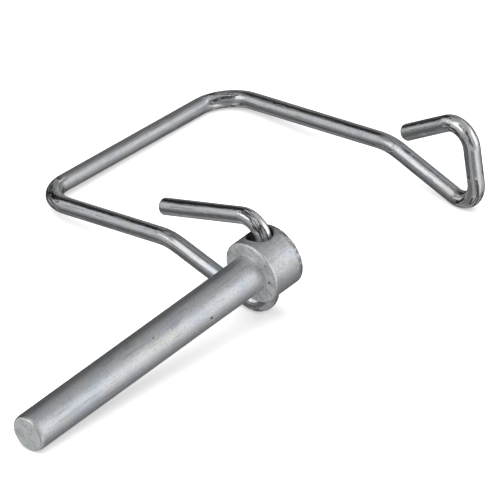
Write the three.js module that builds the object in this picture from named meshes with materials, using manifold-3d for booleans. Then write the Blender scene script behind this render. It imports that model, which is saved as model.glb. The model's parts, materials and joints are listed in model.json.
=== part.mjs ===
// Hitch pin lock: a headed steel pin, and the bent spring-wire bail that swings in the pin's head.
// In use the pin goes through a hitch, its shoulder stops against it, and the bail is swung round
// and sprung over the tip, so that its catch loop holds the pin in.
//
// Millimetres, +Z up. The part lies on a flat surface at Z = 0 with its bail swung right open.
// X runs along the bail's bridge, from the pin's tip towards its head, and Y from the pin to the
// bridge. The origin is on the surface, under the middle of the part's box.

import * as THREE from 'three';
import { mergeVertices } from 'three/addons/utils/BufferGeometryUtils.js';
import Module from 'manifold-3d';

// The pin: one turned piece, with a straight shank and a collar-shaped head
const shankDiameter = 10;
const shankLength = 80.5;
const tipChamferDepth = 0.4;
const tipChamferLength = 1.0;
const headDiameter = 16.8;
const headLength = 10.3;
const headChamfer = 0.5;
const shoulderFillet = 1.2;
const holeFromShoulder = 5.8;
const holeMouthChamfer = 0.5;

// The bail: one length of round spring wire, bent in eight places
const wireDiameter = 4.4;
const bailWidth = 69.5; // between the middles of the two arms
const bridgeReach = 77.6; // from the hinge leg to the bridge
const legBendRadius = 5.6; // at the ends of the upright legs, but for the hinge leg's top
const hingeTopBendRadius = 5;
const bridgeBendRadius = 9.6;
const kinkRadius = 16;

// The bail's hinge loop, whose upright leg passes through the head
const hingeLegFoot = 13.3; // below the level of the arms
const hingeLegTop = 14; // above the level of the arms
const hingeLegLean = 1.2; // how far its top is nearer to the bridge than its foot
const hingeRampRun = 33.5;
const shortLegRun = 33.1;
const shortLegFall = 5.4;

// The bail's catch loop, which closes round the shank
const catchLegOffset = 6.5; // how far its foot stands past the hinge leg's foot
const catchLegFoot = 12.9;
const catchLegTop = 13.9;
const catchLegLean = 0.8;
const catchRampRun = 28.6;
const hookRun = 21.8;
const hookFall = 9.5;

// How the two pieces fit
const headAboveArms = 1.9;
const pinHeading = THREE.MathUtils.degToRad(-1.45); // from the direction of the bridge
const holeAheadOfLeg = 0.3; // towards the bridge, where the leg bends inside the hole
const runningGap = 0.25; // between the wire and the hole, where they are closest

// Fineness of the round surfaces
const pinSides = 56;
const holeSides = 32;
const wireSides = 16;
const filletSteps = 4;
const bendStep = THREE.MathUtils.degToRad(11);

const wasm = await Module();
wasm.setup();

/** Turns a closed three.js geometry into a solid that can be cut. */
function toSolid(geometry) {
  const bare = geometry.clone();
  bare.deleteAttribute('normal');
  bare.deleteAttribute('uv');
  const merged = mergeVertices(bare);
  return new wasm.Manifold(new wasm.Mesh({
    numProp: 3,
    vertProperties: new Float32Array(merged.attributes.position.array),
    triVerts: new Uint32Array(merged.index.array),
  }));
}

/** Turns a cut solid back into a three.js geometry. */
function toGeometry(solid) {
  const mesh = solid.getMesh();
  const geometry = new THREE.BufferGeometry();
  geometry.setAttribute('position', new THREE.BufferAttribute(mesh.vertProperties, 3));
  geometry.setIndex(new THREE.BufferAttribute(mesh.triVerts, 1));
  geometry.computeVertexNormals();
  return geometry;
}

// ---------------------------------------------------------------- bail

/** Places stations, each a point and a direction, along a wire bent at its inner corners. */
function wireStations(corners, bendRadii) {
  const stations = [];
  const direction = (from, to) => to.clone().sub(from).normalize();
  const first = direction(corners[0], corners[1]);
  stations.push({ point: corners[0], tangent: first });
  bendRadii.forEach((radius, index) => {
    const corner = corners[index + 1];
    const before = direction(corners[index], corner);
    const after = direction(corner, corners[index + 2]);
    const turn = before.angleTo(after);
    const inward = after.clone().addScaledVector(before, -Math.cos(turn)).normalize();
    const start = corner.clone().addScaledVector(before, -radius * Math.tan(turn / 2));
    const steps = Math.ceil(turn / bendStep);
    for (let step = 0; step <= steps; step++) {
      const angle = (turn * step) / steps;
      const point = start.clone()
        .addScaledVector(before, radius * Math.sin(angle))
        .addScaledVector(inward, radius * (1 - Math.cos(angle)));
      const tangent = before.clone().multiplyScalar(Math.cos(angle))
        .addScaledVector(inward, Math.sin(angle));
      stations.push({ point, tangent, bend: index });
    }
  });
  const last = corners[corners.length - 1];
  stations.push({ point: last, tangent: direction(corners[corners.length - 2], last) });
  return stations;
}

/** A path that steps from station to station, so that no bend is cut short. */
class WirePath extends THREE.Curve {
  constructor(stations) {
    super();
    this.stations = stations;
  }

  stationAt(fraction) {
    return this.stations[Math.round(fraction * (this.stations.length - 1))];
  }

  getPointAt(fraction, target = new THREE.Vector3()) {
    return target.copy(this.stationAt(fraction).point);
  }

  getTangentAt(fraction, target = new THREE.Vector3()) {
    return target.copy(this.stationAt(fraction).tangent);
  }
}

// The bail's own frame: X from the hinge arm to the catch arm, Y to the bridge, Z up its legs,
// with the arms and the bridge at Z = 0 and the foot of the hinge leg under the origin.
const hingeFoot = new THREE.Vector3(0, 0, -hingeLegFoot);
const hingeTop = new THREE.Vector3(0, hingeLegLean, hingeLegTop);
const catchKinkY = catchRampRun - catchLegOffset;
const catchTopY = catchLegLean - catchLegOffset;
const bailCorners = [
  new THREE.Vector3(0, hingeLegLean + shortLegRun, hingeLegTop - shortLegFall),
  hingeTop,
  hingeFoot,
  new THREE.Vector3(0, hingeRampRun, 0),
  new THREE.Vector3(0, bridgeReach, 0),
  new THREE.Vector3(bailWidth, bridgeReach, 0),
  new THREE.Vector3(bailWidth, catchKinkY, 0),
  new THREE.Vector3(bailWidth, -catchLegOffset, -catchLegFoot),
  new THREE.Vector3(bailWidth, catchTopY, catchLegTop),
  new THREE.Vector3(bailWidth, catchTopY + hookRun, catchLegTop - hookFall),
];
const hingeFootBend = 1;
const bridgeBends = [3, 4];
const catchFootBend = 6;
const bailBends = [
  hingeTopBendRadius, legBendRadius, kinkRadius, bridgeBendRadius,
  bridgeBendRadius, kinkRadius, legBendRadius, legBendRadius,
];
const bailStations = wireStations(bailCorners, bailBends);

function bailGeometry() {
  const section = new THREE.Shape();
  for (let side = 0; side < wireSides; side++) {
    const angle = (2 * Math.PI * side) / wireSides;
    const x = (wireDiameter / 2) * Math.cos(angle);
    const y = (wireDiameter / 2) * Math.sin(angle);
    if (side === 0) section.moveTo(x, y);
    else section.lineTo(x, y);
  }
  section.closePath();
  return new THREE.ExtrudeGeometry(section, {
    steps: bailStations.length - 1,
    extrudePath: new WirePath(bailStations),
  });
}

/** Finds which way is up, in the bail's frame, when it lies on its bridge and its two loops. */
function findBailUp() {
  const supports = [[hingeFootBend], [catchFootBend], bridgeBends].map(
    (bends) => bailStations.filter((station) => bends.includes(station.bend)),
  );
  const lowest = (stations, up) => stations.reduce(
    (low, station) => (station.point.dot(up) < low.dot(up) ? station.point : low),
    stations[0].point,
  );
  const up = new THREE.Vector3(0, 0, 1);
  const settlingPasses = 6;
  for (let pass = 0; pass < settlingPasses; pass++) {
    const [underHinge, underCatch, underBridge] = supports.map((stations) => lowest(stations, up));
    const acrossLoops = underCatch.clone().sub(underHinge);
    const toBridge = underBridge.clone().sub(underHinge);
    up.crossVectors(acrossLoops, toBridge).normalize();
  }
  return { up, armHeight: wireDiameter / 2 - lowest(supports[0], up).dot(up) };
}

const { up: bailUp, armHeight } = findBailUp();
const bailX = new THREE.Vector3(1, 0, 0).projectOnPlane(bailUp).normalize();
const bailY = new THREE.Vector3().crossVectors(bailUp, bailX);
const bailTurn = new THREE.Matrix4().makeBasis(bailX, bailY, bailUp).transpose();

const bail = new THREE.Mesh(
  bailGeometry(),
  new THREE.MeshStandardMaterial({ color: 0xc3c6c8, roughness: 0.28, metalness: 1 }),
);
bail.name = 'wire_bail';
bail.quaternion.setFromRotationMatrix(bailTurn);
bail.position.z = armHeight;

// ---------------------------------------------------------------- pin

const shankRadius = shankDiameter / 2;
const headRadius = headDiameter / 2;
const wireDirection = hingeTop.clone().sub(hingeFoot).normalize().applyMatrix4(bailTurn);
const headShare = (headAboveArms + hingeLegFoot) / (hingeLegTop + hingeLegFoot);
const holeCentre = hingeFoot.clone().lerp(hingeTop, headShare)
  .add(new THREE.Vector3(0, holeAheadOfLeg, 0))
  .applyMatrix4(bailTurn)
  .add(bail.position);

// The tip rests on the surface by the edge where its chamfer starts.
const holeToTipEdge = holeFromShoulder + shankLength - tipChamferLength;
const pinTilt = Math.asin(holeCentre.z / Math.hypot(holeToTipEdge, shankRadius))
  - Math.atan2(shankRadius, holeToTipEdge);

// The pin's own frame: X from tip to head, Z along the cross hole, origin in the hole's middle.
const pinX = new THREE.Vector3(Math.cos(pinTilt), 0, Math.sin(pinTilt))
  .applyAxisAngle(new THREE.Vector3(0, 0, 1), pinHeading);
const pinZ = wireDirection.clone().projectOnPlane(pinX).normalize();
const pinY = new THREE.Vector3().crossVectors(pinZ, pinX);

const pinTurn = new THREE.Matrix4().makeBasis(pinX, pinY, pinZ);

/** Finds the radius, round the hole's axis, that the leaning and bending wire fills in the head. */
function findWireReach() {
  const toPin = pinTurn.clone().setPosition(holeCentre).invert();
  toPin.multiply(bailTurn.clone().setPosition(bail.position));
  const skin = bailGeometry().applyMatrix4(toPin).attributes.position;
  const samples = 12;
  const from = new THREE.Vector3();
  const to = new THREE.Vector3();
  const point = new THREE.Vector3();
  let reach = 0;
  for (let corner = 0; corner < skin.count; corner++) {
    const nextCorner = corner % 3 === 2 ? corner - 2 : corner + 1;
    from.fromBufferAttribute(skin, corner);
    to.fromBufferAttribute(skin, nextCorner);
    for (let sample = 0; sample < samples; sample++) {
      point.lerpVectors(from, to, sample / samples);
      const isInHead = Math.hypot(point.y, point.z) < headRadius && Math.abs(point.x) < headLength;
      const isBetweenChamfers = Math.abs(point.z) < headRadius - holeMouthChamfer;
      if (isInHead && isBetweenChamfers) reach = Math.max(reach, Math.hypot(point.x, point.y));
    }
  }
  return reach;
}

const holeRadius = findWireReach() + runningGap;

function pinGeometry() {
  const headEnd = shankLength + headLength;
  const profile = [
    new THREE.Vector2(0, 0),
    new THREE.Vector2(shankRadius - tipChamferDepth, 0),
    new THREE.Vector2(shankRadius, tipChamferLength),
  ];
  for (let step = 0; step <= filletSteps; step++) {
    const angle = (Math.PI / 2) * (step / filletSteps);
    profile.push(new THREE.Vector2(
      shankRadius + shoulderFillet * (1 - Math.cos(angle)),
      shankLength - shoulderFillet * (1 - Math.sin(angle)),
    ));
  }
  profile.push(
    new THREE.Vector2(headRadius - headChamfer, shankLength),
    new THREE.Vector2(headRadius, shankLength + headChamfer),
    new THREE.Vector2(headRadius, headEnd - headChamfer),
    new THREE.Vector2(headRadius - headChamfer, headEnd),
    new THREE.Vector2(0, headEnd),
  );
  const blank = new THREE.LatheGeometry(profile, pinSides);
  blank.translate(0, -(shankLength + holeFromShoulder), 0);
  blank.rotateZ(-Math.PI / 2);

  // The drill widens at 45 degrees from just under the head's surface, which chamfers both mouths.
  const reach = headDiameter;
  const chamferStart = headRadius - holeMouthChamfer;
  const wideRadius = holeRadius + reach - chamferStart;
  const drill = new THREE.LatheGeometry([
    new THREE.Vector2(0, -reach),
    new THREE.Vector2(wideRadius, -reach),
    new THREE.Vector2(holeRadius, -chamferStart),
    new THREE.Vector2(holeRadius, chamferStart),
    new THREE.Vector2(wideRadius, reach),
    new THREE.Vector2(0, reach),
  ], holeSides);
  drill.rotateX(Math.PI / 2);
  return toGeometry(toSolid(blank).subtract(toSolid(drill)));
}

const pin = new THREE.Mesh(
  pinGeometry(),
  new THREE.MeshStandardMaterial({ color: 0xb4b8ba, roughness: 0.38, metalness: 1 }),
);
pin.name = 'headed_pin';
pin.quaternion.setFromRotationMatrix(pinTurn);
pin.position.copy(holeCentre);

// ---------------------------------------------------------------- assembly

const lying = new THREE.Group();
lying.add(pin, bail);
lying.updateMatrixWorld(true);
const middle = new THREE.Box3().setFromObject(lying, true).getCenter(new THREE.Vector3());
lying.position.set(-middle.x, -middle.y, 0);

const hitchPinLock = new THREE.Group();
hitchPinLock.add(lying);

export default hitchPinLock;
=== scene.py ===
"""Hitch pin lock: the finished surfaces and finishes of a headed steel pin and its wire bail.

The pin is turned from one blank and drilled across its head. The bail is drawn along its path
and bent like the real wire. Both are zinc plated. All lengths are metres, in the frame's axes.
"""

import json
import math

import bpy
import numpy as np
from bpy.props import FloatProperty, FloatVectorProperty, IntProperty, PointerProperty
from mathutils import Matrix, Quaternion, Vector


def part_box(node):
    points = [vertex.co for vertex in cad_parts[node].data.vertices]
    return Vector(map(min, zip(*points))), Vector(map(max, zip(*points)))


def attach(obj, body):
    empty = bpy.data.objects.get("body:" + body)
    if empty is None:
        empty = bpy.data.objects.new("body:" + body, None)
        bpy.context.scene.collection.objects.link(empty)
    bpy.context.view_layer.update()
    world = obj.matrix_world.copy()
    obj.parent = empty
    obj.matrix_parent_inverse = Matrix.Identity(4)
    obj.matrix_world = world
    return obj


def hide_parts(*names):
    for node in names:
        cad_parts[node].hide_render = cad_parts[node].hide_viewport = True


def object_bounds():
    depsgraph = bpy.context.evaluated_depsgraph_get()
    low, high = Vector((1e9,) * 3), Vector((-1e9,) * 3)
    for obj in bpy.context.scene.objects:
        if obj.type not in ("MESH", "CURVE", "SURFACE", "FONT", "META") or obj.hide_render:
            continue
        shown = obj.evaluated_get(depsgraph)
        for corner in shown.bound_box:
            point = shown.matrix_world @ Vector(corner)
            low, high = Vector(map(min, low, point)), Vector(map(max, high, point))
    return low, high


bl_info = {
    "name": "Hitch Pin Lock",
    "version": (1, 0, 0),
    "blender": (4, 5, 0),
    "location": "3D View > Sidebar > Hitch Pin",
    "description": "Builds a zinc-plated hitch pin with its swinging wire bail",
    "category": "Add Mesh",
}

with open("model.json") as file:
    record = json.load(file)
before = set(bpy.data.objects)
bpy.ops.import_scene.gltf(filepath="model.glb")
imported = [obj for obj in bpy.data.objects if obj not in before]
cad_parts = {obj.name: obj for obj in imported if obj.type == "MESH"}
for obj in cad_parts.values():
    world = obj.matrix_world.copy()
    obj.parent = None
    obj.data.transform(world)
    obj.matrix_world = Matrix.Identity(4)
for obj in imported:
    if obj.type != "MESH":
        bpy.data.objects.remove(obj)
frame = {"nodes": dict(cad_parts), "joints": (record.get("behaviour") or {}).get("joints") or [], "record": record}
CAD_LOW, CAD_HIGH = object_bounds()
MM = 0.001
UP = Vector((0, 0, 1))
NEAR = 0.01 * MM
MERGE_DISTANCE = 0.002 * MM
SHARP_ANGLE = math.radians(35)


# ---------------------------------------------------------------- places from the frame


def mount(name):
    """The place and outward direction of one of the part's mounts."""
    found = next(m for m in frame["record"]["mounts"] if m["name"] == name)
    return Vector(found["pos_m"]), Vector(found["axis"]).normalized()


HEAD_BACK, PIN_AXIS = mount("head_face")
HOLE_CENTRE = Vector(frame["joints"][0]["pos_m"])


def along_pin(point):
    """How far a point is past the cross hole, towards the back of the head."""
    return (Vector(point) - HOLE_CENTRE).dot(PIN_AXIS)


TIP_AT = along_pin(mount("tip_face")[0])
SHOULDER_AT = along_pin(mount("shoulder")[0])
BACK_AT = along_pin(HEAD_BACK)


def pin_radius(start, end):
    """The pin's largest radius between two places along its axis."""
    widest = 0.0
    for vertex in frame["nodes"]["headed_pin"].data.vertices:
        place = along_pin(vertex.co)
        if start <= place <= end:
            from_hole = vertex.co - HOLE_CENTRE
            widest = max(widest, (from_hole - PIN_AXIS * place).length)
    return widest


SHANK_RADIUS = pin_radius(TIP_AT, (TIP_AT + SHOULDER_AT) / 2)
HEAD_RADIUS = pin_radius(SHOULDER_AT, BACK_AT)


# ---------------------------------------------------------------- sizes and colours to change


class PinSizes(bpy.types.PropertyGroup):
    """Small shapes of the pin that its main sizes leave open."""

    tip_chamfer_length: FloatProperty(
        name="Tip Chamfer Length", description="Length of the chamfer at the pin's tip",
        default=1.0 * MM, unit="LENGTH")
    tip_chamfer_depth: FloatProperty(
        name="Tip Chamfer Depth", description="How much the chamfer takes off the tip's radius",
        default=0.4 * MM, unit="LENGTH")
    tip_rounding: FloatProperty(
        name="Tip Rounding", description="Width of the rounded edge of the tip's face",
        default=0.35 * MM, unit="LENGTH")
    chamfer_rounding: FloatProperty(
        name="Chamfer Rounding", description="Width of the rounding where the chamfer starts",
        default=0.45 * MM, unit="LENGTH")
    root_fillet: FloatProperty(
        name="Root Fillet", description="Radius of the fillet where the shank meets the head",
        default=0.5 * MM, unit="LENGTH")
    rim_rounding: FloatProperty(
        name="Rim Rounding", description="Width of the rounded rims of the head",
        default=0.6 * MM, unit="LENGTH")
    hole_radius: FloatProperty(
        name="Hole Radius", description="Radius of the cross hole that the wire turns in",
        default=3.56 * MM, unit="LENGTH")
    lip_rounding: FloatProperty(
        name="Hole Lip Rounding", description="Width of the rounded lip of the cross hole",
        default=0.35 * MM, unit="LENGTH")
    sides: IntProperty(
        name="Sides", description="Number of sides of the turned surfaces", default=144)
    hole_sides: IntProperty(
        name="Hole Sides", description="Number of sides of the cross hole", default=96)


class BailSizes(bpy.types.PropertyGroup):
    """The wire's size and its bends."""

    wire_radius: FloatProperty(
        name="Wire Radius", description="Radius of the round wire",
        default=2.2 * MM, unit="LENGTH")
    width: FloatProperty(
        name="Width", description="Distance between the middles of the two arms",
        default=69.5 * MM, unit="LENGTH")
    reach: FloatProperty(
        name="Reach", description="Distance from the hinge leg to the bridge",
        default=77.6 * MM, unit="LENGTH")
    leg_bend: FloatProperty(
        name="Leg Bend Radius", description="Bend radius at the ends of the legs",
        default=5.6 * MM, unit="LENGTH")
    hinge_top_bend: FloatProperty(
        name="Hinge Top Bend Radius", description="Bend radius at the top of the hinge leg",
        default=6.0 * MM, unit="LENGTH")
    bridge_bend: FloatProperty(
        name="Bridge Bend Radius", description="Bend radius at the ends of the bridge",
        default=9.6 * MM, unit="LENGTH")
    kink_bend: FloatProperty(
        name="Kink Radius", description="Bend radius where a ramp meets its arm",
        default=16.0 * MM, unit="LENGTH")
    end_rounding: FloatProperty(
        name="End Rounding", description="Width of the rounded edge of the sheared ends",
        default=0.55 * MM, unit="LENGTH")
    sides: IntProperty(name="Sides", description="Number of sides of the wire", default=56)


class Finishes(bpy.types.PropertyGroup):
    """Colours of the zinc plating, and of the painted highlights and painted shade on it."""

    zinc: FloatVectorProperty(
        name="Zinc", description="Main colour of the plating", subtype="COLOR",
        default=(0.73, 0.74, 0.75))
    cool_tint: FloatVectorProperty(
        name="Cool Tint", description="Faint blue of the passivated plating", subtype="COLOR",
        default=(0.65, 0.69, 0.74))
    warm_tint: FloatVectorProperty(
        name="Warm Tint", description="Faint green-yellow of the passivated plating",
        subtype="COLOR", default=(0.71, 0.72, 0.67))
    # painted highlight colour for the pin's rims and tip and the wire's tool marks, partly rubbed plating
    bright: FloatVectorProperty(
        name="Bright", description="Rubbed bright edges", subtype="COLOR",
        default=(0.90, 0.91, 0.90))
    # also the colour of the painted shade on the middle of the wire's bridge
    dull_and_shade: FloatVectorProperty(
        name="Dull", description="Dark grey of thin or handled plating", subtype="COLOR",
        default=(0.26, 0.27, 0.275))
    face: FloatVectorProperty(
        name="Turned Face", description="Matte greenish grey of the flat tip and shoulder",
        subtype="COLOR", default=(0.68, 0.71, 0.70))
    # also the colour of the painted shade along the edges of the wire's tool marks
    pit_and_shade: FloatVectorProperty(
        name="Pit", description="Brown of a pit where the plating missed", subtype="COLOR",
        default=(0.035, 0.028, 0.022))


class StageSizes(bpy.types.PropertyGroup):
    """The floor and the camera."""

    camera_azimuth: FloatProperty(
        name="Camera Azimuth", description="Where the camera stands round the part",
        default=math.radians(-47.91), subtype="ANGLE")
    camera_elevation: FloatProperty(
        name="Camera Elevation", description="How high the camera stands",
        default=math.radians(31.76), subtype="ANGLE")
    camera_roll: FloatProperty(
        name="Camera Roll", description="Turn of the camera about its own view",
        default=math.radians(-0.74), subtype="ANGLE")
    aim: FloatVectorProperty(
        name="Aim", description="Point that the camera looks at, from the middle of the part",
        default=(15.37 * MM, -21.10 * MM, -4.42 * MM), subtype="TRANSLATION", unit="LENGTH")
    view_width: FloatProperty(
        name="View Width", description="Width of the view at the part",
        default=123.5 * MM, unit="LENGTH")
    lens: FloatProperty(
        name="Lens", description="Focal length, long so that the view is nearly parallel",
        default=1500.0)
    floor_colour: FloatVectorProperty(
        name="Floor Colour", description="Colour of the pale floor", subtype="COLOR",
        default=(0.86, 0.86, 0.86))
    floor_glow: FloatProperty(
        name="Floor Glow", description="How much the floor lightens its own shadows",
        default=0.45)


GROUPS = {"pin": PinSizes, "bail": BailSizes, "finish": Finishes, "stage": StageSizes}


# ---------------------------------------------------------------- modelling helpers


def only(thing):
    """Selects one object and makes it the active one."""
    bpy.ops.object.select_all(action="DESELECT")
    thing.select_set(True)
    bpy.context.view_layer.objects.active = thing


def add_primitive(operator, name, place, direction, **settings):
    """Adds a primitive whose own Z points along a direction, with its place put in its mesh."""
    bpy.ops.object.select_all(action="DESELECT")
    turn = direction.to_track_quat("Z", "Y").to_euler()
    operator(location=place, rotation=turn, **settings)
    thing = bpy.context.object
    thing.name = name
    thing.data.name = name
    bpy.ops.object.transform_apply(location=True, rotation=True, scale=True)
    return thing


def pick(thing, kind, wanted):
    """Selects the faces or edges of a mesh in edit mode for which wanted() is true."""
    bpy.ops.mesh.select_mode(type=kind)
    bpy.ops.mesh.select_all(action="DESELECT")
    bpy.ops.object.mode_set(mode="OBJECT")
    mesh = thing.data
    if kind == "FACE":
        for face in mesh.polygons:
            face.select = wanted(face.center, face.normal)
    else:
        for edge in mesh.edges:
            ends = [mesh.vertices[index].co for index in edge.vertices]
            edge.select = wanted(*ends)
    bpy.ops.object.mode_set(mode="EDIT")


def apply_modifier(thing, kind, **settings):
    """Adds a modifier and applies it."""
    only(thing)
    modifier = thing.modifiers.new(kind.title(), kind)
    for key, value in settings.items():
        setattr(modifier, key, value)
    bpy.ops.object.modifier_apply(modifier=modifier.name)


def close_and_smooth(thing):
    """Merges doubles, turns the faces outwards and smooths all but the sharp edges."""
    only(thing)
    bpy.ops.object.mode_set(mode="EDIT")
    bpy.ops.mesh.select_all(action="SELECT")
    bpy.ops.mesh.remove_doubles(threshold=MERGE_DISTANCE)
    bpy.ops.mesh.normals_make_consistent(inside=False)
    bpy.ops.object.mode_set(mode="OBJECT")
    bpy.ops.object.shade_smooth_by_angle(angle=SHARP_ANGLE)


# ---------------------------------------------------------------- the wire's path


# the bail's inner corners, in order from its short end
HINGE_FOOT, BRIDGE_START, BRIDGE_END, CATCH_FOOT, CATCH_TOP = 1, 3, 4, 6, 7
SETTLING_ROUNDS = 6


def bail_corners(sizes):
    """The corners of the bail's path, from its short end to its hook, in the bail's own frame.

    X runs from the hinge arm to the catch arm, Y to the bridge and Z up the legs. The numbers
    are in millimetres until the end.
    """
    hinge_foot, hinge_top, hinge_lean = -13.3, 14.0, 1.2
    ramp_run = 33.5
    short_run, short_fall = 33.1, 5.4
    catch_offset, catch_foot, catch_top, catch_lean = 6.5, -12.9, 13.9, 0.8
    catch_ramp_run = 28.6
    hook_run, hook_fall = 21.8, 9.5
    width, reach = sizes.width / MM, sizes.reach / MM
    catch_top_y = catch_lean - catch_offset
    corners = [
        (0, hinge_lean + short_run, hinge_top - short_fall),
        (0, hinge_lean, hinge_top),
        (0, 0, hinge_foot),
        (0, ramp_run, 0),
        (0, reach, 0),
        (width, reach, 0),
        (width, catch_ramp_run - catch_offset, 0),
        (width, -catch_offset, catch_foot),
        (width, catch_top_y, catch_top),
        (width, catch_top_y + hook_run, catch_top - hook_fall),
    ]
    return [Vector(corner) * MM for corner in corners]


def bail_radii(sizes):
    """The bend radius at each inner corner of the bail's path."""
    ends_of_bridge = [sizes.kink_bend, sizes.bridge_bend, sizes.bridge_bend, sizes.kink_bend]
    legs = [sizes.hinge_top_bend, sizes.leg_bend]
    return [*legs, *ends_of_bridge, sizes.leg_bend, sizes.leg_bend]


def bends_of(corners, radii):
    """For each inner corner: where its bend starts and ends, its centre, axis and angle."""
    bends = []
    for index, radius in enumerate(radii):
        corner = corners[index + 1]
        before = (corner - corners[index]).normalized()
        after = (corners[index + 2] - corner).normalized()
        angle = before.angle(after)
        setback = radius * math.tan(angle / 2)
        start = corner - before * setback
        inward = (after - before * math.cos(angle)).normalized()
        bends.append({
            "start": start, "end": corner + after * setback, "centre": start + inward * radius,
            "axis": before.cross(after).normalized(), "angle": angle, "before": before,
        })
    return bends


def points_on(bend, count=32):
    """Points on the middle line of a bend."""
    arm = bend["start"] - bend["centre"]
    turns = [Quaternion(bend["axis"], bend["angle"] * step / count) for step in range(count + 1)]
    return [bend["centre"] + turn @ arm for turn in turns]


def lying_bail(sizes):
    """The bail's corners in the frame's axes, resting on its bridge and its two loops."""
    corners, radii = bail_corners(sizes), bail_radii(sizes)
    bends = [points_on(bend) for bend in bends_of(corners, radii)]
    supports = [bends[HINGE_FOOT], bends[CATCH_FOOT], bends[BRIDGE_START] + bends[BRIDGE_END]]
    up = UP.copy()
    for _ in range(SETTLING_ROUNDS):
        hinge, catch, bridge = [min(found, key=lambda p: p.dot(up)) for found in supports]
        up = (catch - hinge).cross(bridge - hinge).normalized()
    side = (Vector((1, 0, 0)) - up * up.x).normalized()
    turn = Matrix((side, up.cross(side), up))
    turned = [turn @ point for bend in bends for point in bend]
    low = Vector(min(point[axis] for point in turned) for axis in range(3))
    high = Vector(max(point[axis] for point in turned) for axis in range(3))
    cad_low, cad_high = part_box("wire_bail")
    shift = (cad_low + cad_high - low - high) / 2
    shift.z = sizes.wire_radius - low.z
    return [turn @ corner + shift for corner in corners]


# ---------------------------------------------------------------- shader node groups


def new_group(name, inputs, outputs):
    """A shader node group with named sockets, and its input and output nodes."""
    group = bpy.data.node_groups.new(name, "ShaderNodeTree")
    for key, (kind, default) in inputs.items():
        socket = group.interface.new_socket(name=key, in_out="INPUT", socket_type=kind)
        if default is not None:
            socket.default_value = default
    for key, kind in outputs.items():
        group.interface.new_socket(name=key, in_out="OUTPUT", socket_type=kind)
    return group, group.nodes.new("NodeGroupInput"), group.nodes.new("NodeGroupOutput")


def add_node(tree, kind, inputs=None, **settings):
    """Adds a node, sets its fields, and sets or links its inputs, by name or by number."""
    made = tree.nodes.new(kind)
    for key, value in settings.items():
        setattr(made, key, value)
    for key, value in (inputs or {}).items():
        if isinstance(value, bpy.types.NodeSocket):
            tree.links.new(value, made.inputs[key])
        else:
            made.inputs[key].default_value = value
    return made


def maths(tree, operation, first, second=0.0, clamp=False):
    """A Math node's result."""
    made = add_node(
        tree, "ShaderNodeMath", {0: first, 1: second}, operation=operation, use_clamp=clamp)
    return made.outputs[0]


def ramp_between(tree, value, low, high, to_low=0.0, to_high=1.0):
    """A value taken smoothly from one range to another."""
    made = add_node(
        tree, "ShaderNodeMapRange", {0: value, 1: low, 2: high, 3: to_low, 4: to_high},
        interpolation_type="SMOOTHSTEP")
    return made.outputs[0]


def noise(tree, vector, scale, detail=3.0, roughness=0.5):
    """A noise texture's value."""
    made = add_node(
        tree, "ShaderNodeTexNoise",
        {"Vector": vector, "Scale": scale, "Detail": detail, "Roughness": roughness})
    return made.outputs[0]


def stretched(tree, vector, scale):
    """A vector scaled by a different amount along each axis."""
    made = add_node(tree, "ShaderNodeVectorMath", {0: vector, 1: scale}, operation="MULTIPLY")
    return made.outputs[0]


def slab(tree, value, middle, half, soft):
    """One where a value is within a half width of a middle, with soft edges."""
    away = maths(tree, "ABSOLUTE", maths(tree, "SUBTRACT", value, middle))
    return ramp_between(tree, away, half, half + soft, to_low=1.0, to_high=0.0)


def mixed(tree, share, first, second):
    """Two colours mixed; the node's colour sockets share their names, so they go by number."""
    made = add_node(tree, "ShaderNodeMix", {0: share, 6: first, 7: second}, data_type="RGBA")
    return made.outputs[2]


def plating_tone_group():
    """Slow drifts of the plating's colour, from neutral to a faint blue or green."""
    colour, number = "NodeSocketColor", "NodeSocketFloat"
    group, given, out = new_group(
        "Plating Tone",
        {"Place": ("NodeSocketVector", None), "Zinc": (colour, None), "Cool": (colour, None),
         "Warm": (colour, None), "Dull": (colour, None), "Patch Scale": (number, 0.12),
         "Mottle Scale": (number, 0.8), "Mottle Depth": (number, 0.3)},
        {"Color": colour, "Mottle": number})
    place = given.outputs["Place"]
    patches = noise(group, place, given.outputs["Patch Scale"], detail=2.0)
    drawn_out = stretched(group, place, (0.7, 1.3, 1.3))
    drift = noise(group, drawn_out, given.outputs["Patch Scale"], detail=4.0)
    mottle = noise(group, place, given.outputs["Mottle Scale"], detail=5.0, roughness=0.65)
    cool = mixed(group, ramp_between(group, patches, 0.45, 0.68), given.outputs["Zinc"],
                 given.outputs["Cool"])
    tinted = mixed(group, ramp_between(group, drift, 0.52, 0.75), cool, given.outputs["Warm"])
    blotch = maths(group, "MULTIPLY", ramp_between(group, mottle, 0.48, 0.75),
                   given.outputs["Mottle Depth"])
    group.links.new(mixed(group, blotch, tinted, given.outputs["Dull"]), out.inputs["Color"])
    group.links.new(mottle, out.inputs["Mottle"])
    return group


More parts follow.
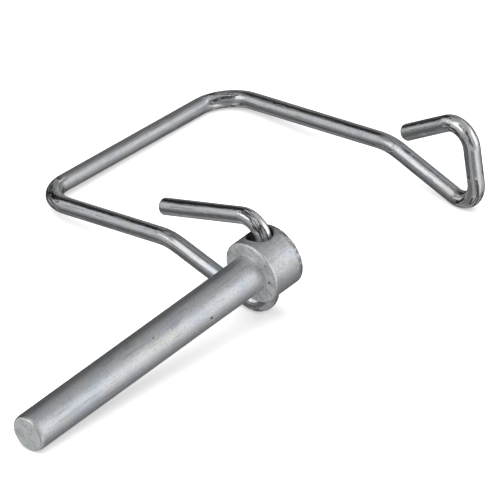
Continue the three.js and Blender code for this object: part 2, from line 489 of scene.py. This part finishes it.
def drawn_grain_group():
    """Lines along X and a pebbled skin, as a height, and broken dark streaks as a mask."""
    number = "NodeSocketFloat"
    squeeze = 0.03
    group, given, out = new_group(
        "Drawn Grain",
        {"Place": ("NodeSocketVector", None), "Line Scale": (number, 2.0),
         "Skin Scale": (number, 3.0), "Line Share": (number, 0.5), "Line Length": (number, 1.0)},
        {"Height": number, "Streaks": number})
    place = given.outputs["Place"]
    parts = add_node(group, "ShaderNodeSeparateXYZ", {0: place}).outputs
    along = maths(group, "DIVIDE", parts["X"], given.outputs["Line Length"])
    drawn = add_node(
        group, "ShaderNodeCombineXYZ",
        {"X": maths(group, "MULTIPLY", along, squeeze), "Y": parts["Y"], "Z": parts["Z"]}).outputs[0]
    lines = noise(group, drawn, given.outputs["Line Scale"], detail=4.0, roughness=0.6)
    skin = noise(group, place, given.outputs["Skin Scale"], detail=3.0, roughness=0.65)
    blend = add_node(group, "ShaderNodeMix",
                     {0: given.outputs["Line Share"], 2: skin, 3: lines}, data_type="FLOAT")
    wide = noise(group, drawn, scale=0.9, detail=3.0, roughness=0.65)
    gaps = noise(group, stretched(group, place, (0.5, 1.0, 1.0)), scale=0.35, detail=3.0)
    broken = ramp_between(group, gaps, 0.36, 0.52)
    streaks = maths(group, "MULTIPLY", ramp_between(group, wide, 0.55, 0.60), broken)
    group.links.new(blend.outputs[0], out.inputs["Height"])
    group.links.new(streaks, out.inputs["Streaks"])
    return group


def pits_group():
    """Rare small pits with soft, wobbling edges."""
    number = "NodeSocketFloat"
    wobble_depth, edge_softness = 0.12, 0.35
    group, given, out = new_group(
        "Plating Pits",
        {"Place": ("NodeSocketVector", None), "Spread": (number, 0.5), "Size": (number, 0.2),
         "Rarity": (number, 0.9)},
        {"Mask": number})
    cells = add_node(group, "ShaderNodeTexVoronoi",
                     {"Vector": given.outputs["Place"], "Scale": given.outputs["Spread"]})
    wobble = noise(group, given.outputs["Place"], scale=3.0, detail=2.0)
    wobble = maths(group, "MULTIPLY", maths(group, "SUBTRACT", wobble, 0.5), wobble_depth)
    edge = maths(group, "ADD", cells.outputs["Distance"], wobble)
    near = maths(group, "SUBTRACT", 1.0,
                 maths(group, "DIVIDE", edge, given.outputs["Size"]), clamp=True)
    chosen = add_node(group, "ShaderNodeSeparateColor", {0: cells.outputs["Color"]})
    rare = maths(group, "GREATER_THAN", chosen.outputs[0], given.outputs["Rarity"])
    mask = maths(group, "MULTIPLY", ramp_between(group, near, 0.0, edge_softness), rare)
    group.links.new(mask, out.inputs["Mask"])
    return group


# ---------------------------------------------------------------- materials


def rgba(colour):
    """A colour property with full opacity."""
    return (*colour, 1.0)


def start_material(name):
    """A material with its Principled shader, and its node tree."""
    material = bpy.data.materials.new(name)
    material.use_nodes = True
    tree = material.node_tree
    shader = tree.nodes["Principled BSDF"]
    shader.inputs["Metallic"].default_value = 1.0
    return material, tree, shader


def use_group(tree, name, inputs):
    """Places one of the shared node groups."""
    return add_node(
        tree, "ShaderNodeGroup", inputs, node_tree=bpy.data.node_groups[name]).outputs


def plating_colours(colours, share=1.0):
    """The colour inputs that every plated finish shares, taken down to a share of themselves."""
    given = {"Zinc": colours.zinc, "Cool": colours.cool_tint, "Warm": colours.warm_tint,
             "Dull": colours.dull_and_shade}
    return {key: rgba([share * part for part in colour]) for key, colour in given.items()}


def pin_material(colours, pin_turn):
    """Satin zinc over turned steel, with matte flat faces, worn edges with a painted highlight on the head's front
    rim and the tip, and a few small pits.

    Places along the pin are in millimetres from the cross hole, towards the back of the head.
    """
    tip_at, shoulder_at, back_at = TIP_AT / MM, SHOULDER_AT / MM, BACK_AT / MM
    material, tree, shader = start_material("plated_pin_steel")
    coordinates = add_node(tree, "ShaderNodeTexCoord")
    place = add_node(
        tree, "ShaderNodeMapping",
        {"Vector": coordinates.outputs["Object"], "Location": HOLE_CENTRE,
         "Rotation": pin_turn.to_euler(), "Scale": (MM, MM, MM)},
        vector_type="TEXTURE").outputs[0]
    along = add_node(tree, "ShaderNodeSeparateXYZ", {0: place}).outputs["X"]
    tone = use_group(tree, "Plating Tone", {
        "Place": place, **plating_colours(colours), "Patch Scale": 0.16,
        "Mottle Scale": 2.2, "Mottle Depth": 0.55})
    grain = use_group(tree, "Drawn Grain", {
        "Place": place, "Line Scale": 2.6, "Skin Scale": 2.8, "Line Share": 0.40,
        "Line Length": 0.5})
    pits = use_group(tree, "Plating Pits", {
        "Place": place, "Spread": 0.28, "Size": 0.12, "Rarity": 0.9})
    shoulder = slab(tree, along, shoulder_at, half=0.02, soft=0.04)
    tip = slab(tree, along, tip_at, half=0.02, soft=0.04)
    # painted highlight, partly rubbed plating: the head's front rim and the tip's rounded edge and chamfer are
    # painted brighter in patches
    rim_wear_and_highlight = slab(tree, along, shoulder_at + 0.40, half=0.33, soft=0.12)
    tip_wear_and_highlight = slab(tree, along, tip_at + 0.50, half=0.40, soft=0.30)
    patchy = noise(tree, place, scale=0.8, detail=4.0, roughness=0.6)
    bright = maths(tree, "MULTIPLY", maths(tree, "MAXIMUM", rim_wear_and_highlight, tip_wear_and_highlight),
                   ramp_between(tree, patchy, 0.30, 0.50, to_low=0.35, to_high=0.9))
    faces = maths(tree, "ADD", shoulder, tip, clamp=True)
    head = ramp_between(tree, along, shoulder_at - 0.3, shoulder_at + 0.3)
    face_pits = use_group(tree, "Plating Pits", {
        "Place": place, "Spread": 0.55, "Size": 0.2, "Rarity": 0.66})
    missed = maths(tree, "MAXIMUM", pits["Mask"],
                   maths(tree, "MULTIPLY", face_pits["Mask"], shoulder))
    blotches = ramp_between(
        tree, noise(tree, place, scale=0.55, detail=6.0, roughness=0.7), 0.42, 0.66)
    face_tone = mixed(tree, maths(tree, "MULTIPLY", blotches, 0.55),
                      rgba(colours.face), rgba(colours.dull_and_shade))
    handled = maths(tree, "MULTIPLY", blotches, maths(tree, "MULTIPLY", head, 0.22))
    back_rim = slab(tree, along, back_at, half=0.7, soft=1.3)
    chipped = noise(tree, place, scale=0.7, detail=5.0, roughness=0.7)
    rubbed = maths(tree, "MULTIPLY", back_rim, ramp_between(tree, chipped, 0.42, 0.52))
    plated = mixed(tree, maths(tree, "MULTIPLY", grain["Streaks"], 0.30),
                   tone["Color"], rgba(colours.dull_and_shade))
    plated = mixed(tree, maths(tree, "MAXIMUM", handled, rubbed), plated, rgba(colours.dull_and_shade))
    # the painted highlight on the rims and the tip
    plated = mixed(tree, bright, plated, rgba(colours.bright))
    plated = mixed(tree, faces, plated, face_tone)
    tree.links.new(mixed(tree, missed, plated, rgba(colours.pit_and_shade)), shader.inputs["Base Color"])
    tree.links.new(maths(tree, "SUBTRACT", 1.0, maths(tree, "MULTIPLY", faces, 0.35)),
                   shader.inputs["Metallic"])
    rough = ramp_between(tree, tone["Mottle"], 0.3, 0.75, to_low=0.31, to_high=0.44)
    for mask, amount in ((head, 0.02), (faces, 0.16), (bright, -0.08)):
        rough = maths(tree, "ADD", rough, maths(tree, "MULTIPLY", mask, amount))
    tree.links.new(maths(tree, "ADD", rough, missed, clamp=True), shader.inputs["Roughness"])
    pebbled = maths(tree, "ADD", 1.0, maths(tree, "MULTIPLY", head, 0.15))
    height = maths(tree, "SUBTRACT", maths(tree, "MULTIPLY", grain["Height"], pebbled), missed)
    bump = add_node(tree, "ShaderNodeBump",
                    {"Strength": 0.85, "Distance": 0.17 * MM, "Height": height})
    tree.links.new(bump.outputs[0], shader.inputs["Normal"])
    return material


def wire_material(colours, wire_length, shaded_middle, shaded_half):
    """Bright zinc on drawn wire, with lines along it, tool marks in its bends with painted highlights and painted
    shade along their edges, dark cut ends.

    The middle of the bridge is painted darker, a painted shade, and is rougher. All three lengths are in
    millimetres.
    """
    half_length = wire_length / 2
    material, tree, shader = start_material("plated_spring_wire")
    place = add_node(tree, "ShaderNodeAttribute", attribute_name="along_wire").outputs["Vector"]
    bend = add_node(tree, "ShaderNodeAttribute", attribute_name="bend").outputs["Fac"]
    along = add_node(tree, "ShaderNodeSeparateXYZ", {0: place}).outputs["X"]
    tone = use_group(tree, "Plating Tone", {
        "Place": place, **plating_colours(colours, 0.84), "Patch Scale": 0.12,
        "Mottle Scale": 0.7, "Mottle Depth": 0.25})
    grain = use_group(tree, "Drawn Grain", {
        "Place": place, "Line Scale": 2.2, "Skin Scale": 2.2, "Line Share": 0.85})
    pits = use_group(tree, "Plating Pits", {
        "Place": place, "Spread": 0.3, "Size": 0.1, "Rarity": 0.93})
    from_middle = maths(tree, "ABSOLUTE", maths(tree, "SUBTRACT", along, half_length))
    cut = ramp_between(tree, from_middle, half_length - 0.6, half_length - 0.2)
    drawn_out = stretched(tree, place, (0.17, 1.0, 1.0))
    folds = noise(tree, drawn_out, scale=0.42, detail=2.5, roughness=0.55)
    ragged = maths(tree, "SUBTRACT", noise(tree, place, scale=1.3, detail=3.0), 0.5)
    folds = maths(tree, "ADD", folds, maths(tree, "MULTIPLY", ragged, 0.06))
    in_bend = maths(tree, "MINIMUM", maths(tree, "MULTIPLY", bend, 1.6), 1.0)
    dents = maths(tree, "MULTIPLY", ramp_between(tree, folds, 0.49, 0.52), in_bend)
    # painted shade: dark lines along the edges of the tool marks in the bends
    dent_edge_shade = slab(tree, folds, middle=0.480, half=0.010, soft=0.014)
    dent_edge_shade = maths(tree, "MULTIPLY", dent_edge_shade, in_bend)
    # painted shade: the middle of the bridge is painted darker, and it is also rougher
    bridge_shade_and_roughness = slab(tree, along, shaded_middle, shaded_half, soft=5.0)
    streaked = maths(tree, "MAXIMUM", maths(tree, "MULTIPLY", grain["Streaks"], 0.6),
                     maths(tree, "MULTIPLY", bridge_shade_and_roughness, 0.30))
    drawn = mixed(tree, streaked, tone["Color"], rgba(colours.dull_and_shade))
    # the tool marks take the painted highlight colour and their edges painted shade; the dark cut ends are real
    marks = ((dents, 0.8, colours.bright), (dent_edge_shade, 0.85, colours.pit_and_shade), (cut, 0.6, colours.pit_and_shade))
    for mask, amount, colour in marks:
        drawn = mixed(tree, maths(tree, "MULTIPLY", mask, amount), drawn, rgba(colour))
    tree.links.new(mixed(tree, pits["Mask"], drawn, rgba(colours.pit_and_shade)),
                   shader.inputs["Base Color"])
    rough = ramp_between(tree, tone["Mottle"], 0.35, 0.75, to_low=0.10, to_high=0.20)
    for mask, amount in ((cut, 0.25), (bridge_shade_and_roughness, 0.20)):
        rough = maths(tree, "ADD", rough, maths(tree, "MULTIPLY", mask, amount))
    tree.links.new(maths(tree, "ADD", rough, pits["Mask"], clamp=True), shader.inputs["Roughness"])
    height = maths(tree, "SUBTRACT", grain["Height"], pits["Mask"])
    fine = add_node(tree, "ShaderNodeBump",
                    {"Strength": 0.8, "Distance": 0.13 * MM, "Height": height})
    bump = add_node(tree, "ShaderNodeBump",
                    {"Strength": 1.0, "Distance": 0.30 * MM, "Normal": fine.outputs[0],
                     "Height": maths(tree, "SUBTRACT", 1.0, dents)})
    tree.links.new(bump.outputs[0], shader.inputs["Normal"])
    return material


# ---------------------------------------------------------------- operators


class HITCHPIN_OT_finishes(bpy.types.Operator):
    """Make the node groups that the plated finishes share"""

    bl_idname = "hitchpin.finishes"
    bl_label = "Make Finishes"

    def execute(self, context):
        plating_tone_group()
        drawn_grain_group()
        pits_group()
        return {"FINISHED"}


def turn_blank(sizes):
    """The pin before drilling: a cylinder whose root face is drawn out into the head."""
    length = SHOULDER_AT - TIP_AT
    middle = HOLE_CENTRE + PIN_AXIS * (TIP_AT + SHOULDER_AT) / 2
    blank = add_primitive(
        bpy.ops.mesh.primitive_cylinder_add, "plated_headed_pin", middle, PIN_AXIS,
        vertices=sizes.sides, radius=SHANK_RADIUS, depth=length)

    def end_face(place, facing):
        squarely = 0.9
        return lambda centre, normal: (
            abs(along_pin(centre) - place) < NEAR and normal.dot(PIN_AXIS) * facing > squarely)

    def ring(place, radius):
        return lambda first, second: all(
            abs(along_pin(end) - place) < NEAR
            and abs((end - HOLE_CENTRE - PIN_AXIS * along_pin(end)).length - radius) < NEAR
            for end in (first, second))

    bpy.ops.object.mode_set(mode="EDIT")
    # the head: the root face is spread to the shoulder and drawn out to the back
    pick(blank, "FACE", end_face(SHOULDER_AT, 1))
    bpy.ops.mesh.extrude_region_move(TRANSFORM_OT_translate={"value": (0, 0, 0)})
    spread = HEAD_RADIUS / SHANK_RADIUS
    root = HOLE_CENTRE + PIN_AXIS * SHOULDER_AT
    bpy.ops.transform.resize(value=(spread, spread, spread), center_override=root)
    bpy.ops.mesh.extrude_region_move(
        TRANSFORM_OT_translate={"value": PIN_AXIS * (BACK_AT - SHOULDER_AT)})
    # the tip: the end face is drawn in for the chamfer
    pick(blank, "FACE", end_face(TIP_AT, -1))
    bpy.ops.transform.translate(value=PIN_AXIS * sizes.tip_chamfer_length)
    bpy.ops.mesh.extrude_region_move(
        TRANSFORM_OT_translate={"value": -PIN_AXIS * sizes.tip_chamfer_length})
    inward = 1 - sizes.tip_chamfer_depth / SHANK_RADIUS
    tip = HOLE_CENTRE + PIN_AXIS * TIP_AT
    bpy.ops.transform.resize(value=(inward, inward, inward), center_override=tip)
    chamfer_at = TIP_AT + sizes.tip_chamfer_length
    for place, radius, width, segments in (
        (TIP_AT, SHANK_RADIUS - sizes.tip_chamfer_depth, sizes.tip_rounding, 4),
        (chamfer_at, SHANK_RADIUS, sizes.chamfer_rounding, 4),
        (SHOULDER_AT, SHANK_RADIUS, sizes.root_fillet, 8),
        (SHOULDER_AT, HEAD_RADIUS, sizes.rim_rounding, 5),
        (BACK_AT, HEAD_RADIUS, sizes.rim_rounding, 5),
    ):
        pick(blank, "EDGE", ring(place, radius))
        bpy.ops.mesh.bevel(offset=width, segments=segments, affect="EDGES")
    bpy.ops.object.mode_set(mode="OBJECT")
    return blank


def drill_across(blank, sizes, direction):
    """Cuts the cross hole and rounds its lips."""
    near = 2 * NEAR
    drill = add_primitive(
        bpy.ops.mesh.primitive_cylinder_add, "drill", HOLE_CENTRE, direction,
        vertices=sizes.hole_sides, radius=sizes.hole_radius, depth=4 * HEAD_RADIUS)
    apply_modifier(blank, "BOOLEAN", object=drill, operation="DIFFERENCE", solver="EXACT")
    bpy.data.objects.remove(drill)

    def in_hole(point):
        return (point - HOLE_CENTRE).cross(direction).length < sizes.hole_radius + near

    def on_lip(first, second):
        offset = (first + second) / 2 - HOLE_CENTRE
        from_axis = (offset - PIN_AXIS * offset.dot(PIN_AXIS)).length
        return from_axis > HEAD_RADIUS - near and in_hole(first) and in_hole(second)

    only(blank)
    bpy.ops.object.mode_set(mode="EDIT")
    pick(blank, "EDGE", on_lip)
    bpy.ops.mesh.bevel(
        offset=sizes.lip_rounding, segments=3, affect="EDGES", clamp_overlap=False,
        loop_slide=False)
    bpy.ops.object.mode_set(mode="OBJECT")


class HITCHPIN_OT_pin(bpy.types.Operator):
    """Model the headed pin and give it its finish"""

    bl_idname = "hitchpin.pin"
    bl_label = "Build Headed Pin"

    def execute(self, context):
        scene = context.scene
        corners = lying_bail(scene.hitch_pin_bail)
        leg = (corners[1] - corners[2]).normalized()
        across = (leg - PIN_AXIS * leg.dot(PIN_AXIS)).normalized()
        pin_turn = Matrix((PIN_AXIS, across.cross(PIN_AXIS), across)).transposed()
        pin = turn_blank(scene.hitch_pin_pin)
        drill_across(pin, scene.hitch_pin_pin, across)
        close_and_smooth(pin)
        pin.data.materials.append(pin_material(scene.hitch_pin_finish, pin_turn))
        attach(pin, "pin")
        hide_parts("headed_pin")
        return {"FINISHED"}


def bend_wire(sizes, corners, bends):
    """The wire: a ring drawn along each straight stretch and spun round each bend."""
    spacing, turn_step, fewest_turns = 0.6 * MM, math.radians(4), 6
    first = (corners[1] - corners[0]).normalized()
    wire = add_primitive(
        bpy.ops.mesh.primitive_circle_add, "plated_wire_bail", corners[0], first,
        vertices=sizes.sides, radius=sizes.wire_radius, fill_type="NOTHING")
    bpy.ops.object.mode_set(mode="EDIT")
    bpy.ops.mesh.select_all(action="SELECT")
    at = corners[0]
    for bend in bends + [None]:
        stop = bend["start"] if bend else corners[-1]
        steps = max(1, round((stop - at).length / spacing))
        bpy.ops.mesh.extrude_repeat(steps=steps, offset=(stop - at) / steps)
        if bend:
            # spin turns clockwise about its axis, so the angle is negative
            steps = max(fewest_turns, round(bend["angle"] / turn_step))
            bpy.ops.mesh.spin(
                steps=steps, angle=-bend["angle"], center=bend["centre"], axis=bend["axis"])
            at = bend["end"]
    bpy.ops.mesh.edge_face_add()
    ends = ((corners[0], first), (corners[-1], (corners[-1] - corners[-2]).normalized()))

    def at_end(place, direction):
        return lambda first, second: all(
            abs((end - place).dot(direction)) < NEAR
            and (end - place).length < 2 * sizes.wire_radius
            for end in (first, second))

    pick(wire, "EDGE", at_end(*ends[0]))
    bpy.ops.mesh.edge_face_add()
    for place, direction in ends:
        pick(wire, "EDGE", at_end(place, direction))
        bpy.ops.mesh.bevel(offset=sizes.end_rounding, segments=4, affect="EDGES")
    bpy.ops.object.mode_set(mode="OBJECT")
    return wire


def mark_along_wire(wire, corners, bends):
    """Writes each vertex's place along and round the wire, and how much it is in a bend.

    The place is in millimetres. Returns the wire's length and how far along it the middle of
    the bridge is, in metres.
    """
    spacing, tool_mark, chunk_size = 0.3 * MM, 0.5, 2000
    stations = []
    turn = Quaternion()
    at, gone = corners[0], 0.0
    for bend in bends + [None]:
        stop = bend["start"] if bend else corners[-1]
        length = (stop - at).length
        count = max(1, round(length / spacing))
        # the bending tool has marked the catch's upright too, between the bends at its ends
        marked = tool_mark if bend is bends[CATCH_TOP] else 0.0
        if bend is bends[BRIDGE_END]:
            bridge_middle = gone + length / 2
        for step in range(count):
            share = step / count
            stations.append((at.lerp(stop, share), turn.copy(), gone + length * share, marked))
        gone += length
        if bend:
            arm = bend["start"] - bend["centre"]
            arc = arm.length * bend["angle"]
            count = max(1, round(arc / spacing))
            for step in range(count):
                share = step / count
                part = Quaternion(bend["axis"], bend["angle"] * share)
                strength = math.sin(math.pi * share) * min(1.0, bend["angle"])
                is_past, is_before = share > 0.5, share < 0.5
                if (bend is bends[CATCH_FOOT] and is_past) or (
                        bend is bends[CATCH_TOP] and is_before):
                    strength = max(strength, tool_mark)
                stations.append(
                    (bend["centre"] + part @ arm, part @ turn, gone + arc * share, strength))
            turn = Quaternion(bend["axis"], bend["angle"]) @ turn
            gone += arc
            at = bend["end"]
    stations.append((corners[-1], turn.copy(), gone, 0.0))
    middles = np.array([station[0] for station in stations])
    first = (corners[1] - corners[0]).normalized()
    side = first.orthogonal().normalized()
    frames = np.array([[s[1] @ first, s[1] @ side, s[1] @ first.cross(side)] for s in stations])
    lengths = np.array([station[2] for station in stations])
    strengths = np.array([station[3] for station in stations])
    places = np.empty(len(wire.data.vertices) * 3)
    wire.data.vertices.foreach_get("co", places)
    places = places.reshape(-1, 3)
    nearest = np.concatenate([
        np.argmin(((chunk[:, None] - middles[None]) ** 2).sum(2), axis=1)
        for chunk in np.array_split(places, 1 + len(places) // chunk_size)])
    local = np.einsum("nij,nj->ni", frames[nearest], places - middles[nearest])
    local[:, 0] += lengths[nearest]
    along = wire.data.attributes.new("along_wire", "FLOAT_VECTOR", "POINT")
    along.data.foreach_set("vector", (local / MM).astype(np.float32).ravel())
    bent = wire.data.attributes.new("bend", "FLOAT", "POINT")
    bent.data.foreach_set("value", strengths[nearest].astype(np.float32))
    return gone, bridge_middle


class HITCHPIN_OT_bail(bpy.types.Operator):
    """Draw and bend the wire bail and give it its finish"""

    bl_idname = "hitchpin.bail"
    bl_label = "Build Wire Bail"

    def execute(self, context):
        sizes = context.scene.hitch_pin_bail
        corners = lying_bail(sizes)
        bends = bends_of(corners, bail_radii(sizes))
        wire = bend_wire(sizes, corners, bends)
        close_and_smooth(wire)
        length, bridge_middle = mark_along_wire(wire, corners, bends)
        # the painted shade on the bridge reaches from its middle to its bends
        shaded_half = sizes.width / 2 - sizes.bridge_bend
        wire.data.materials.append(wire_material(
            context.scene.hitch_pin_finish, length / MM, bridge_middle / MM, shaded_half / MM))
        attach(wire, "bail")
        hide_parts("wire_bail")
        return {"FINISHED"}


def direction_of(azimuth, elevation):
    """The direction at an azimuth, from -Y towards +X, and an elevation, in degrees."""
    round_by, up_by = math.radians(azimuth), math.radians(elevation)
    level = math.cos(up_by)
    return Vector((math.sin(round_by) * level, -math.cos(round_by) * level, math.sin(up_by)))


def add_overhead(name, direction, distance, width, radiance):
    """A wide soft light that whitens the floor and is left out of the metal's reflections."""
    light = bpy.data.lights.new(name, "AREA")
    light.shape = "SQUARE"
    light.size = width
    light.energy = radiance * math.pi * width * width
    thing = bpy.data.objects.new(name, light)
    bpy.context.scene.collection.objects.link(thing)
    thing.location = direction * distance
    thing.rotation_euler = direction.to_track_quat("Z", "Y").to_euler()
    thing.visible_camera = False
    thing.visible_glossy = False


# The studio's cards: middle, half size, softness, brightness. Middles and half sizes are
# azimuth and elevation. A card covers those before it.
CARDS = (
    ((-40, -20), (80, 14), 10, 0.44),
    ((-135, -35), (35, 14), 10, 0.16),
    ((-44, -32), (20, 14), 6, 0.18),
    ((1, -30), (11, 18), 4, 0.95),
    ((132, -30), (42, 22), 12, 0.07),
    ((52, -42), (34, 14), 12, 0.24),
    ((46, -24), (26, 12), 8, 0.42),
    ((41, -6), (26, 9), 6, 0.78),
    ((80, 48), (30, 12), 10, 0.50),
    ((43, 21), (29, 20), 7, 1.26),
    ((-107, 48), (22, 24), 5, 1.38),
    ((-150, 22), (20, 20), 6, 0.78),
    ((124, 32), (14, 16), 6, 0.22),
    ((167, 28), (24, 24), 2, 0.03),
)


def studio_world(cards):
    """A grey room with soft cards, which the metal reflects; the camera sees a plain pale grey.

    Azimuths run from -Y towards +X and elevations from the floor, in degrees.
    """
    below, above, seen, blue_lift = 0.42, 0.36, 0.9, 1.02
    world = bpy.data.worlds.new("Studio")
    bpy.context.scene.world = world
    world.use_nodes = True
    tree = world.node_tree
    tree.nodes.clear()
    ray = add_node(tree, "ShaderNodeTexCoord").outputs["Generated"]
    parts = add_node(tree, "ShaderNodeSeparateXYZ", {0: ray}).outputs
    elevation = maths(tree, "DEGREES", maths(tree, "ARCSINE", parts["Z"]))
    ahead = maths(tree, "MULTIPLY", parts["Y"], -1.0)
    azimuth = maths(tree, "DEGREES", maths(tree, "ARCTAN2", parts["X"], ahead))

    def grey(level):
        return (level, level, level * blue_lift, 1.0)

    room = mixed(tree, ramp_between(tree, elevation, -50.0, 20.0), grey(below), grey(above))
    for middle, half, soft, level in cards:
        away = maths(tree, "SUBTRACT", azimuth, middle[0])
        away = add_node(tree, "ShaderNodeMath", {0: away, 1: 180.0, 2: -180.0},
                        operation="WRAP").outputs[0]
        across = slab(tree, away, 0.0, half[0], soft)
        upright = slab(tree, elevation, middle[1], half[1], soft)
        room = mixed(tree, maths(tree, "MULTIPLY", across, upright), room, grey(level))
    camera_ray = add_node(tree, "ShaderNodeLightPath").outputs["Is Camera Ray"]
    shown = mixed(tree, camera_ray, room, grey(seen))
    background = add_node(tree, "ShaderNodeBackground", {"Color": shown, "Strength": 1.0})
    output = add_node(tree, "ShaderNodeOutputWorld")
    tree.links.new(background.outputs[0], output.inputs[0])


def floor_material(colour, glow):
    """Plain pale floor."""
    material, _, shader = start_material("pale_floor")
    for key, value in {
        "Metallic": 0.0, "Base Color": rgba(colour), "Roughness": 0.9, "Specular IOR Level": 0.2,
        "Emission Color": rgba(colour), "Emission Strength": glow,
    }.items():
        shader.inputs[key].default_value = value
    return material


class HITCHPIN_OT_stage(bpy.types.Operator):
    """Add the floor, the studio, the overhead light and the camera"""

    bl_idname = "hitchpin.stage"
    bl_label = "Build Stage"

    def execute(self, context):
        scene = context.scene
        sizes = scene.hitch_pin_stage
        floor_width, floor_gap = 4.0, 0.02 * MM
        bpy.ops.object.select_all(action="DESELECT")
        bpy.ops.mesh.primitive_plane_add(size=floor_width, location=(0, 0, -floor_gap))
        floor = context.object
        floor.name = "floor"
        floor.data.materials.append(floor_material(sizes.floor_colour, sizes.floor_glow))
        floor.visible_glossy = False

        studio_world(CARDS)
        add_overhead(
            "overhead", direction_of(azimuth=-60, elevation=78), distance=1.2, width=1.6,
            radiance=2.6)

        scene.view_settings.view_transform = "Standard"
        camera = bpy.data.cameras.new("camera")
        camera.lens = sizes.lens
        thing = bpy.data.objects.new("camera", camera)
        scene.collection.objects.link(thing)
        back = direction_of(
            math.degrees(sizes.camera_azimuth), math.degrees(sizes.camera_elevation))
        right = Quaternion(back, sizes.camera_roll) @ UP.cross(back).normalized()
        distance = sizes.view_width * camera.lens / camera.sensor_width
        aim = (CAD_LOW + CAD_HIGH) / 2 + Vector(sizes.aim)
        axes = Matrix((right, back.cross(right), back)).transposed()
        thing.matrix_world = Matrix.Translation(aim + back * distance) @ axes.to_4x4()
        camera.clip_start, camera.clip_end = 0.1, 3 * distance
        scene.camera = thing
        return {"FINISHED"}


class HITCHPIN_PT_panel(bpy.types.Panel):
    """Sizes, colours and the steps that build the pin"""

    bl_idname = "HITCHPIN_PT_panel"
    bl_label = "Hitch Pin Lock"
    bl_space_type = "VIEW_3D"
    bl_region_type = "UI"
    bl_category = "Hitch Pin"

    def draw(self, context):
        for key, group in GROUPS.items():
            box = self.layout.box()
            box.label(text=key.title())
            for name in group.__annotations__:
                box.prop(getattr(context.scene, f"hitch_pin_{key}"), name)
        for operator in STEPS:
            self.layout.operator(operator.bl_idname)


STEPS = (HITCHPIN_OT_finishes, HITCHPIN_OT_pin, HITCHPIN_OT_bail, HITCHPIN_OT_stage)
CLASSES = (*GROUPS.values(), *STEPS, HITCHPIN_PT_panel)


def register():
    """Adds the add-on's classes and its settings to Blender."""
    for item in CLASSES:
        bpy.utils.register_class(item)
    for key, group in GROUPS.items():
        setattr(bpy.types.Scene, f"hitch_pin_{key}", PointerProperty(type=group))


def unregister():
    """Takes the add-on's settings and classes out again."""
    for key in GROUPS:
        delattr(bpy.types.Scene, f"hitch_pin_{key}")
    for item in reversed(CLASSES):
        bpy.utils.unregister_class(item)


def main():
    """Builds the whole scene."""
    register()
    bpy.ops.hitchpin.finishes()
    bpy.ops.hitchpin.pin()
    bpy.ops.hitchpin.bail()
    bpy.ops.hitchpin.stage()


if __name__ == "__main__":
    main()
